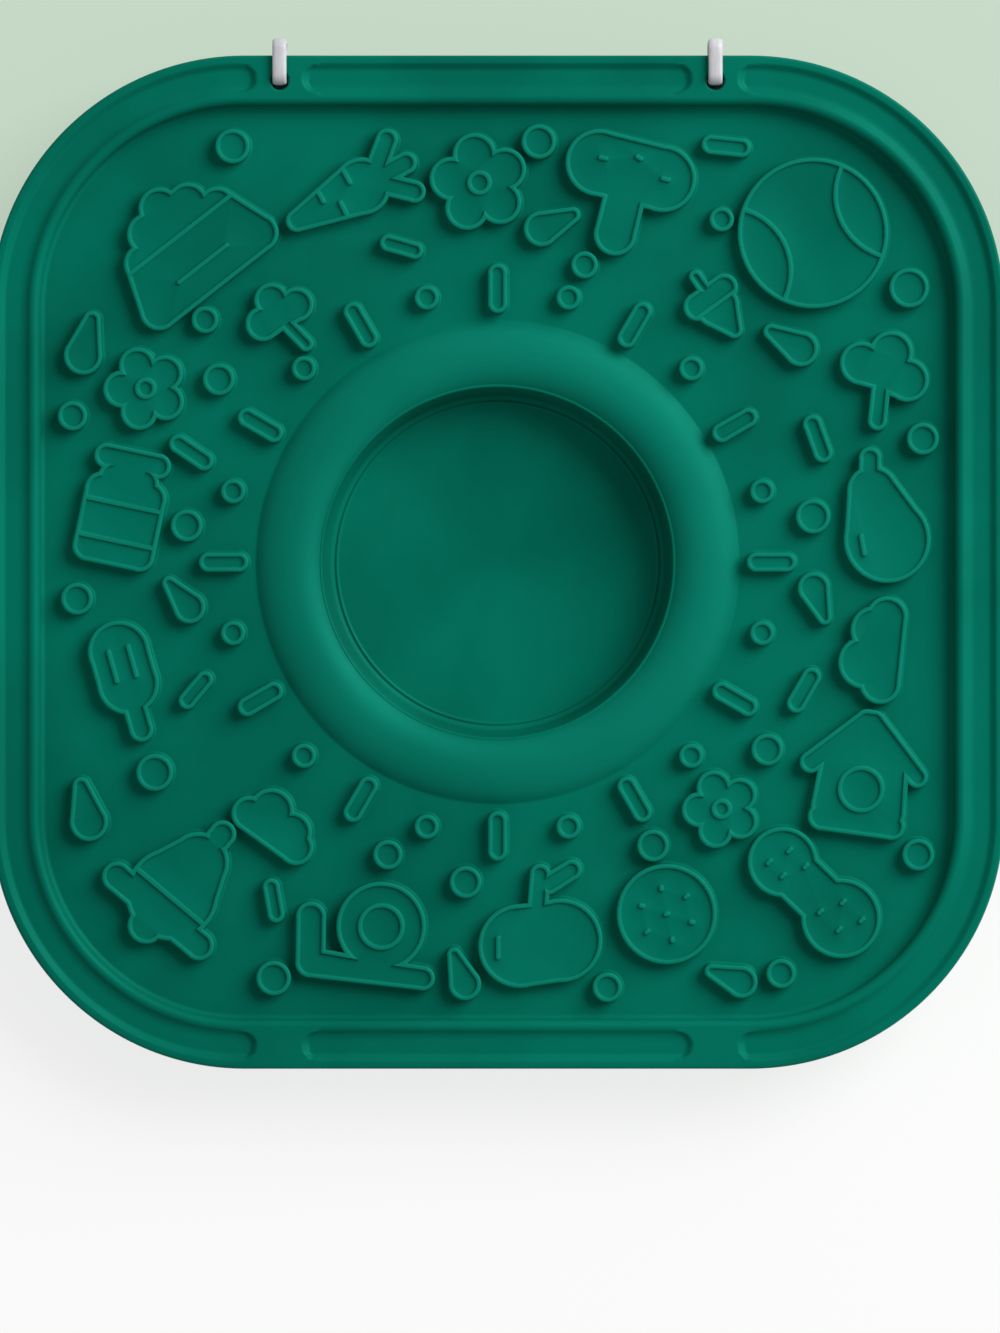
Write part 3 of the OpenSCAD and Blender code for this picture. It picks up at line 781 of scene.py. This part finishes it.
def cup_section(c):
    """Section of a suction cup, as (radius, height), from its hollow's middle round to its head's top."""
    lip = c.diameter / 2
    shoulder = c.shoulder_diameter / 2
    stem = c.stem_diameter / 2
    head = c.head_diameter / 2
    head_low = c.top - c.head_height
    hollow = c.shoulder_height - 2 * c.wall
    hollow_flat = shoulder / 2
    hollow_run = lip - c.lip_width - hollow_flat
    hollow_power, hollow_steps = 1.7, 10
    points = [(0, hollow), (hollow_flat, hollow)]
    for i in range(1, hollow_steps + 1):
        t = i / hollow_steps
        points.append((hollow_flat + hollow_run * t, hollow * (1 - t ** hollow_power)))
    edge = c.lip_edge
    points += arc((lip - edge, edge), edge, -90, 90, 6)
    shoulder_edge = c.wall * 0.6
    run = lip - edge - shoulder - shoulder_edge
    rise = c.shoulder_height - c.wall / 2 - 2 * edge
    straight, wall_steps = 0.65, 12
    for i in range(1, wall_steps + 1):
        t = i / wall_steps
        share = straight * t + (1 - straight) * t ** 3
        points.append((lip - edge - run * t, 2 * edge + rise * share))
    points.append((shoulder, c.shoulder_height))
    fillet, dome = c.stem_fillet, c.head_edge
    points += arc((stem + fillet, c.shoulder_height + fillet), fillet, 270, 180, 5)
    points += arc((stem + fillet / 2, head_low - fillet / 2), fillet / 2, 180, 90, 3)
    points += arc((head - edge, head_low + edge), edge, -90, 0, 4)
    points += arc((head - dome, c.top - dome), dome, 0, 90, 6)
    top_flat = head * 0.4
    points += [(top_flat, c.top), (0, c.top)]
    return points


def strap_outline(width, thickness):
    """A flat oval with full round edges, as (across, through) points."""
    across_power, through_power, steps = 0.72, 0.8, 28
    points = []
    for i in range(steps):
        angle = 2 * math.pi * i / steps
        cosine, sine = math.cos(angle), math.sin(angle)
        across = math.copysign(abs(cosine) ** across_power, cosine) * width / 2
        through = math.copysign(abs(sine) ** through_power, sine) * thickness / 2
        points.append((across, through))
    return points


def tie_strap(x, s, t):
    """The strap of a cable tie: out of its head, up past the mat's edge, over it and down to its tail."""
    out = TIE_HIGH[1] - t.strap_thickness / 2
    top = TIE_HIGH[2] - t.strap_thickness / 2
    end = TIE_LOW[2]
    inner = s.half_width - t.inner_inset
    low = end + t.tail + t.head_height / 2
    bend, bend_steps = t.bend_radius, 14
    start = inner + t.head_length / 2 - t.root_sunk
    outline = strap_outline(t.strap_width, t.strap_thickness)
    ring = [(x + across, start, low + through) for across, through in outline]
    piece = draw_chain("strap", ring + ring[:1])
    bpy.ops.mesh.remove_doubles(threshold=SAME)
    extrude((0, out - bend - start, 0))
    turn((x, out - bend, low + bend), (1, 0, 0), 90, bend_steps)
    extrude((0, 0, top - low - 2 * bend))
    turn((x, out - bend, top - bend), (1, 0, 0), 90, bend_steps)
    extrude((0, inner - out + 2 * bend, 0))
    turn((x, inner + bend, top - bend), (1, 0, 0), 90, bend_steps)
    extrude((0, 0, end - top + bend))
    bpy.ops.mesh.edge_face_add()
    select_all("DESELECT")
    bpy.ops.mesh.select_non_manifold()
    bpy.ops.mesh.edge_face_add()
    close_up(piece)
    return piece


def block(centre, size):
    """A new block of a size, round a centre."""
    deselect_all()
    bpy.ops.mesh.primitive_cube_add(size=1, location=centre)
    piece = bpy.context.object
    piece.scale = size
    bpy.ops.object.transform_apply(location=True, rotation=True, scale=True)
    return piece


def tie_teeth(x, s, t):
    """Fine teeth across the inner face of the strap, down its inner run."""
    top = TIE_HIGH[2] - t.strap_thickness
    inner = s.half_width - t.inner_inset + t.strap_thickness / 2
    low = TIE_LOW[2] + t.tail + t.head_height
    count = int((top - t.bend_radius - low) / t.tooth_pitch)
    size = (t.strap_width / 2, t.tooth_height * 2, t.tooth_pitch / 2)
    first = 0.7
    return [block((x, inner, low + (i + first) * t.tooth_pitch), size) for i in range(count)]


def tie_head(x, s, t):
    """The head of a cable tie, a rounded block with a sunk mouth round the strap above and below."""
    inner = s.half_width - t.inner_inset
    middle = TIE_LOW[2] + t.tail + t.head_height / 2
    piece = block((x, inner, middle), (t.head_width, t.head_length, t.head_height))
    edit(piece, "EDGE")
    select_all()
    bpy.ops.mesh.bevel(offset=t.head_edge, segments=4, affect="EDGES")
    # Larger than any face of the rounded edges
    small_face = 1 * MM ** 2
    for side in (-1, 1):
        bpy.ops.mesh.select_mode(type="FACE")
        select_all("DESELECT")
        bpy.ops.object.mode_set(mode="OBJECT")
        for polygon in piece.data.polygons:
            polygon.select = polygon.normal.z * side > 0.99 and polygon.area > small_face
        bpy.ops.object.mode_set(mode="EDIT")
        bpy.ops.mesh.inset(thickness=t.mouth_inset)
        bpy.ops.mesh.inset(thickness=t.mouth_bank, depth=-t.mouth_bank)
        extrude((0, 0, -side * t.mouth_depth))
    bpy.ops.object.mode_set(mode="OBJECT")
    return piece


# Materials

def is_socket(value):
    """Whether a value is a node's socket."""
    return isinstance(value, bpy.types.NodeSocket)


def feed(tree, value, socket):
    """Gives a socket its value, or links it to another socket."""
    if is_socket(value):
        tree.links.new(value, socket)
    else:
        socket.default_value = value


def set_inputs(tree, node, values):
    """Feeds a node's inputs by their names."""
    for label, value in values.items():
        feed(tree, value, node.inputs[label])


def node_group(name, inputs, outputs):
    """A new shader node group with a vector input, and named float inputs and outputs."""
    group = bpy.data.node_groups.new(name, "ShaderNodeTree")
    group.interface.new_socket(name="Vector", in_out="INPUT", socket_type="NodeSocketVector")
    for label, default in inputs.items():
        socket = group.interface.new_socket(name=label, in_out="INPUT", socket_type="NodeSocketFloat")
        socket.default_value = default
    for label in outputs:
        group.interface.new_socket(name=label, in_out="OUTPUT", socket_type="NodeSocketFloat")
    return group, group.nodes.new("NodeGroupInput"), group.nodes.new("NodeGroupOutput")


def maths(tree, operation, a, b, clamp=False):
    """A Math node on two values or sockets."""
    node = tree.nodes.new("ShaderNodeMath")
    node.operation = operation
    node.use_clamp = clamp
    feed(tree, a, node.inputs[0])
    feed(tree, b, node.inputs[1])
    return node.outputs[0]


def noise(tree, vector, scale, detail):
    """A noise pattern, as a value."""
    node = tree.nodes.new("ShaderNodeTexNoise")
    set_inputs(tree, node, {"Vector": vector, "Scale": scale, "Detail": detail})
    return node.outputs["Fac"]


def spread(tree, value, low, high):
    """A value stretched so that low becomes 0 and high becomes 1."""
    node = tree.nodes.new("ShaderNodeMapRange")
    node.interpolation_type = "SMOOTHSTEP"
    set_inputs(tree, node, {"Value": value, "From Min": low, "From Max": high})
    return node.outputs["Result"]


def part_of(tree, vector, axis):
    """One part of a vector, as a value."""
    node = tree.nodes.new("ShaderNodeSeparateXYZ")
    tree.links.new(vector, node.inputs[0])
    return node.outputs[axis]


def mix(tree, factor, a, b):
    """A colour mixed from two colours or sockets by a factor socket."""
    node = tree.nodes.new("ShaderNodeMix")
    node.data_type = "RGBA"
    tree.links.new(factor, node.inputs["Factor"])
    ends = [socket for socket in node.inputs if socket.type == "RGBA"]
    for socket, value in zip(ends, (a, b)):
        feed(tree, value if is_socket(value) else (*value, 1), socket)
    return next(socket for socket in node.outputs if socket.type == "RGBA")


def moulding_group(name):
    """Soft mottling of a moulded material: a mask for its tone, a roughness and a height."""
    group, start, end = node_group(
        name, {"Tone scale": 60.0, "Grain scale": 1500.0, "Roughness": 0.5, "Roughness spread": 0.08},
        ["Tone", "Roughness", "Height"])
    vector, tone_scale = start.outputs["Vector"], start.outputs["Tone scale"]
    broad = noise(group, vector, tone_scale, detail=4.0)
    fine = noise(group, vector, start.outputs["Grain scale"], detail=2.0)
    smears = noise(group, vector, maths(group, "MULTIPLY", tone_scale, 3.0), detail=5.0)
    swing = maths(group, "SUBTRACT", smears, 0.5)
    reach = maths(group, "MULTIPLY", start.outputs["Roughness spread"], 4.0)
    change = maths(group, "MULTIPLY", swing, reach)
    set_inputs(group, end, {
        "Tone": spread(group, broad, low=0.35, high=0.65),
        "Roughness": maths(group, "ADD", start.outputs["Roughness"], change, clamp=True),
        "Height": maths(group, "ADD", maths(group, "MULTIPLY", smears, 2.0), fine),
    })
    return group


def dust_group(name):
    """Faint dust and lint that settle on faces that look up."""
    group, start, end = node_group(name, {"Amount": 0.1, "Scale": 900.0}, ["Mask"])
    vector = start.outputs["Vector"]
    specks = spread(group, noise(group, vector, start.outputs["Scale"], detail=6.0), low=0.62, high=0.8)
    clouds = spread(group, noise(group, vector, scale=45.0, detail=3.0), low=0.4, high=0.7)
    geometry = group.nodes.new("ShaderNodeNewGeometry")
    upward = spread(group, part_of(group, geometry.outputs["Normal"], "Z"), low=0.6, high=1.0)
    cloud_share = 0.35
    both = maths(group, "ADD", maths(group, "MULTIPLY", clouds, cloud_share), specks, clamp=True)
    shown = maths(group, "MULTIPLY", both, upward)
    set_inputs(group, end, {"Mask": maths(group, "MULTIPLY", shown, start.outputs["Amount"])})
    return group


GROUP_MAKERS = {"moulding": moulding_group, "settled_dust": dust_group}


def place_group(tree, name, values):
    """A shared node group in a material, built on its first use, with this material's own values."""
    node = tree.nodes.new("ShaderNodeGroup")
    node.node_tree = bpy.data.node_groups.get(name) or GROUP_MAKERS[name](name)
    set_inputs(tree, node, values)
    return node


Start = namedtuple("Start", "material tree shader vector tone dust")


def new_material(name):
    """A new material, its node tree and its shader."""
    material = bpy.data.materials.new(name)
    material.use_nodes = True
    return material, material.node_tree, material.node_tree.nodes["Principled BSDF"]


def start_material(name, tone_scale, grain_scale, roughness, roughness_spread, dust, relief):
    """A material with its roughness and fine relief in place, and the masks for its tone and its dust."""
    material, tree, shader = new_material(name)
    vector = tree.nodes.new("ShaderNodeTexCoord").outputs["Object"]
    moulding = place_group(tree, "moulding", {
        "Vector": vector, "Tone scale": tone_scale, "Grain scale": grain_scale,
        "Roughness": roughness, "Roughness spread": roughness_spread,
    })
    settled = place_group(tree, "settled_dust", {"Vector": vector, "Amount": dust})
    surface = tree.nodes.new("ShaderNodeBump")
    set_inputs(tree, surface, {
        "Strength": relief, "Distance": GRAIN_DEPTH, "Height": moulding.outputs["Height"]})
    set_inputs(tree, shader, {
        "Normal": surface.outputs["Normal"], "Roughness": moulding.outputs["Roughness"]})
    return Start(material, tree, shader, vector, moulding.outputs["Tone"], settled.outputs["Mask"])


def dusted(start, body, dust_colour):
    """Gives a material its colour with the dust on it."""
    shown = mix(start.tree, start.dust, body, dust_colour)
    start.tree.links.new(shown, start.shader.inputs["Base Color"])
    return start.material


def darker(tone, share):
    """A colour with only a share of its light."""
    return [value * share for value in tone]


def translucent(start, weight, depth, scale):
    """Lets light into a material, down to a depth."""
    set_inputs(start.tree, start.shader, {
        "Subsurface Weight": weight, "Subsurface Radius": (depth, depth, depth), "Subsurface Scale": scale})


def green_silicone(name, f, low, high, share, top=None):
    """Satin green silicone with a painted highlight: lighter by a share on what rises from one height to
    another, up to a top.
    """
    start = start_material(
        name, tone_scale=28.0, grain_scale=1400.0, roughness=0.5, roughness_spread=0.05, dust=0.03,
        relief=0.12)
    tree = start.tree
    height = part_of(tree, start.vector, "Z")
    # Mask of the painted highlight, from 0 at the low height to 1 at the high one; the highlight tone is
    # mixed in by it
    raised = spread(tree, height, low, high)
    if top:
        raised = maths(tree, "SUBTRACT", raised, maths(tree, "GREATER_THAN", height, top), clamp=True)
    body = mix(tree, start.tone, f.silicone_deep, f.silicone)
    body = mix(tree, maths(tree, "MULTIPLY", raised, share), body, f.silicone_painted_highlight)
    set_inputs(tree, start.shader, {
        "Specular Tint": (*f.silicone_sheen, 1), "Specular IOR Level": 0.4, "IOR": 1.43})
    return dusted(start, body, f.dust)


def satin_green_silicone(name, scene):
    """The mat's silicone, with a painted highlight on the swollen ring but not on the higher rim."""
    s = scene.lick_mat_sizes
    crown = s.field_height + scene.lick_mat_bowl.swell_height
    margin, crest_band = 0.1 * MM, 0.8 * MM
    return green_silicone(
        name, scene.lick_mat_finishes, low=s.field_height + margin, high=crown - crest_band, share=0.45,
        top=crown + margin)


def beaded_green_silicone(name, scene):
    """The figures' silicone, with a painted highlight on their beads."""
    g = scene.lick_mat_figures
    margin = 0.05 * MM
    return green_silicone(
        name, scene.lick_mat_finishes, low=g.face_height + margin, high=g.bead_height, share=0.8)


def milky_silicone(name, scene):
    """Soft milky silicone of the suction cups."""
    f = scene.lick_mat_finishes
    start = start_material(
        name, tone_scale=90.0, grain_scale=1600.0, roughness=0.32, roughness_spread=0.05, dust=0.08,
        relief=0.08)
    translucent(start, weight=0.35, depth=4 * MM, scale=0.5)
    return dusted(start, mix(start.tree, start.tone, darker(f.cup, 0.86), f.cup), f.dust)


def tie_nylon(name, scene):
    """Light grey nylon of the cable ties, with the faint flow streaks of the moulding."""
    f = scene.lick_mat_finishes
    start = start_material(
        name, tone_scale=160.0, grain_scale=2200.0, roughness=0.38, roughness_spread=0.06, dust=0.05,
        relief=0.15)
    tree = start.tree
    stretch = tree.nodes.new("ShaderNodeMapping")
    set_inputs(tree, stretch, {"Vector": start.vector, "Scale": (1.0, 0.08, 0.08)})
    flow = noise(tree, stretch.outputs["Vector"], scale=2600.0, detail=3.0)
    both = maths(tree, "ADD", start.tone, spread(tree, flow, low=0.3, high=0.7))
    body = mix(tree, maths(tree, "MULTIPLY", both, 0.5), darker(f.nylon, 0.84), f.nylon)
    translucent(start, weight=0.2, depth=2 * MM, scale=0.4)
    return dusted(start, body, f.dust)


MATERIAL_MAKERS = {
    "satin_green_silicone": satin_green_silicone, "beaded_green_silicone": beaded_green_silicone,
    "milky_silicone": milky_silicone, "tie_nylon": tie_nylon,
}


def made_material(name):
    """The finished material of that name, made on its first use."""
    return bpy.data.materials.get(name) or MATERIAL_MAKERS[name](name, bpy.context.scene)


# Studio

def floor_piece(p):
    """A plain pale floor, a little greener behind the mat than in front of it."""
    deselect_all()
    bpy.ops.mesh.primitive_plane_add(size=p.floor_size, location=(0, 0, -p.floor_drop))
    floor = bpy.context.object
    floor.name = "floor"
    material, tree, shader = new_material("floor")
    vector = tree.nodes.new("ShaderNodeTexCoord").outputs["Object"]
    back = spread(tree, part_of(tree, vector, "Y"), -p.floor_border, 0.0)
    tone = mix(tree, back, p.floor_front, p.floor_back)
    set_inputs(tree, shader, {"Base Color": tone, "Roughness": 0.9, "Specular IOR Level": 0.1})
    glow = tree.nodes.new("ShaderNodeEmission")
    tree.links.new(tone, glow.inputs["Color"])
    rays = tree.nodes.new("ShaderNodeLightPath")
    seen = maths(tree, "MAXIMUM", rays.outputs["Is Camera Ray"], rays.outputs["Is Glossy Ray"])
    both = tree.nodes.new("ShaderNodeMixShader")
    links = (maths(tree, "MULTIPLY", seen, p.floor_glow), shader.outputs[0], glow.outputs[0])
    for output, socket in zip(links, both.inputs):
        tree.links.new(output, socket)
    tree.links.new(both.outputs[0], tree.nodes["Material Output"].inputs["Surface"])
    floor.data.materials.append(material)


def soft_light(name, place, target, size, watts):
    """A square soft light that looks at a point."""
    data = bpy.data.lights.new(name, "AREA")
    data.size = size
    data.energy = watts
    light = add_object(name, data)
    light.location = place
    light.rotation_euler = (target - place).to_track_quat("-Z", "Y").to_euler()


def studio_world(scene, level):
    """Even white light all round."""
    world = bpy.data.worlds.new("studio")
    world.use_nodes = True
    tree = world.node_tree
    set_inputs(tree, tree.nodes["Background"], {"Color": (1, 1, 1, 1), "Strength": level})
    scene.world = world


# Operators

class LICKMAT_OT_mat(Operator):
    """Builds the moulded mat: rim, lands, field, bowl, foot wall and sockets"""
    bl_idname = "lickmat.mat"
    bl_label = "Moulded mat"

    def execute(self, context):
        scene = context.scene
        s, b, c = scene.lick_mat_sizes, scene.lick_mat_bowl, scene.lick_mat_cups
        piece = join([rim_quarter(s), *bowl_quarter(s, b)], "mat_body")
        bridge_field(piece, s.field_height)
        bridge_field(piece, s.field_height - s.field_thickness)
        mirror_quarter(piece)
        cut_holes(piece, s)
        piece = join([piece, *sockets(s, c)], "mat_body")
        finish_piece(piece, made_material("satin_green_silicone"), "mat", ["mat"])
        return {"FINISHED"}


class LICKMAT_OT_figures(Operator):
    """Builds the raised figures on the field and the ring of bars and dots round the bowl"""
    bl_idname = "lickmat.figures"
    bl_label = "Raised figures"

    def execute(self, context):
        s, g = context.scene.lick_mat_sizes, context.scene.lick_mat_figures
        ring, figures = [], []
        for points, foot in figure_loops(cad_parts["mat"], g.bead_height):
            middle = sum(points, Vector((0, 0))) / len(points)
            (ring if middle.length < g.ring_limit else figures).append((points, foot))
        if not ring or not figures:
            raise RuntimeError("the mat's mesh has no figures at the beads' height")
        for name, loops in (("figures", figures), ("ring_of_bars", ring)):
            piece = build_relief(name, loops, s, g)
            material = made_material("beaded_green_silicone")
            finish_piece(piece, material, "mat", ["mat"], angle=40)
        return {"FINISHED"}


class LICKMAT_OT_cups(Operator):
    """Builds the suction cups, one for each socket"""
    bl_idname = "lickmat.cups"
    bl_label = "Suction cups"

    def execute(self, context):
        c = context.scene.lick_mat_cups
        first = turned("first_cup", cup_section(c), 72)
        for node, place in cup_places().items():
            make_active(first)
            bpy.ops.object.duplicate()
            cup = context.object
            cup.name = node.replace("suction_cup", "cup")
            bpy.ops.transform.translate(value=place)
            finish_piece(cup, made_material("milky_silicone"), node, [node])
        remove(first)
        return {"FINISHED"}


class LICKMAT_OT_ties(Operator):
    """Builds the two cable ties through the upper lands"""
    bl_idname = "lickmat.ties"
    bl_label = "Cable ties"

    def execute(self, context):
        s, t = context.scene.lick_mat_sizes, context.scene.lick_mat_ties
        for side, x in (("left", -s.land_offset), ("right", s.land_offset)):
            pieces = [tie_strap(x, s, t), tie_head(x, s, t), *tie_teeth(x, s, t)]
            piece = join(pieces, "tie_" + side)
            node = "cable_tie_" + side
            finish_piece(piece, made_material("tie_nylon"), node, [node])
        return {"FINISHED"}


class LICKMAT_OT_studio(Operator):
    """Builds the floor, the lights and the camera"""
    bl_idname = "lickmat.studio"
    bl_label = "Studio"

    def execute(self, context):
        scene = context.scene
        s, p = scene.lick_mat_sizes, scene.lick_mat_studio
        floor_piece(p)
        target = Vector((0, 0, s.field_height))
        soft_light("key", Vector(p.key_place), target, p.key_size, p.key_watts)
        soft_light("fill", Vector(p.fill_place), target, p.fill_size, p.fill_watts)
        studio_world(scene, p.world_level)
        data = bpy.data.cameras.new("camera")
        data.lens = data.sensor_width * p.camera_height / p.picture_height
        data.clip_end = p.camera_reach
        scene.camera = add_object("camera", data)
        scene.camera.location = (p.camera_right, -p.camera_down, s.crest_height + p.camera_height)
        scene.view_settings.view_transform = "Standard"
        return {"FINISHED"}


class LICKMAT_PT_panel(Panel):
    """Lists the steps that build the lick mat"""
    bl_idname = "LICKMAT_PT_panel"
    bl_label = "Lick mat"
    bl_space_type = "VIEW_3D"
    bl_region_type = "UI"
    bl_category = "Lick mat"

    def draw(self, context):
        for operator in OPERATORS:
            self.layout.operator(operator.bl_idname)
        for name, group in GROUPS.items():
            box = self.layout.box()
            for label in group.__annotations__:
                box.prop(getattr(context.scene, name), label)


OPERATORS = [LICKMAT_OT_mat, LICKMAT_OT_figures, LICKMAT_OT_cups, LICKMAT_OT_ties, LICKMAT_OT_studio]


def register():
    """Registers the classes and gives each scene their settings."""
    for group in [*GROUPS.values(), *OPERATORS, LICKMAT_PT_panel]:
        bpy.utils.register_class(group)
    for name, group in GROUPS.items():
        setattr(bpy.types.Scene, name, PointerProperty(type=group))


def unregister():
    """Takes the settings and the classes away again."""
    for name in GROUPS:
        delattr(bpy.types.Scene, name)
    for group in reversed([*GROUPS.values(), *OPERATORS, LICKMAT_PT_panel]):
        bpy.utils.unregister_class(group)


def main():
    """Builds everything in order."""
    register()
    for operator in OPERATORS:
        family, name = operator.bl_idname.split(".")
        getattr(getattr(bpy.ops, family), name)()


if __name__ == "__main__":
    main()
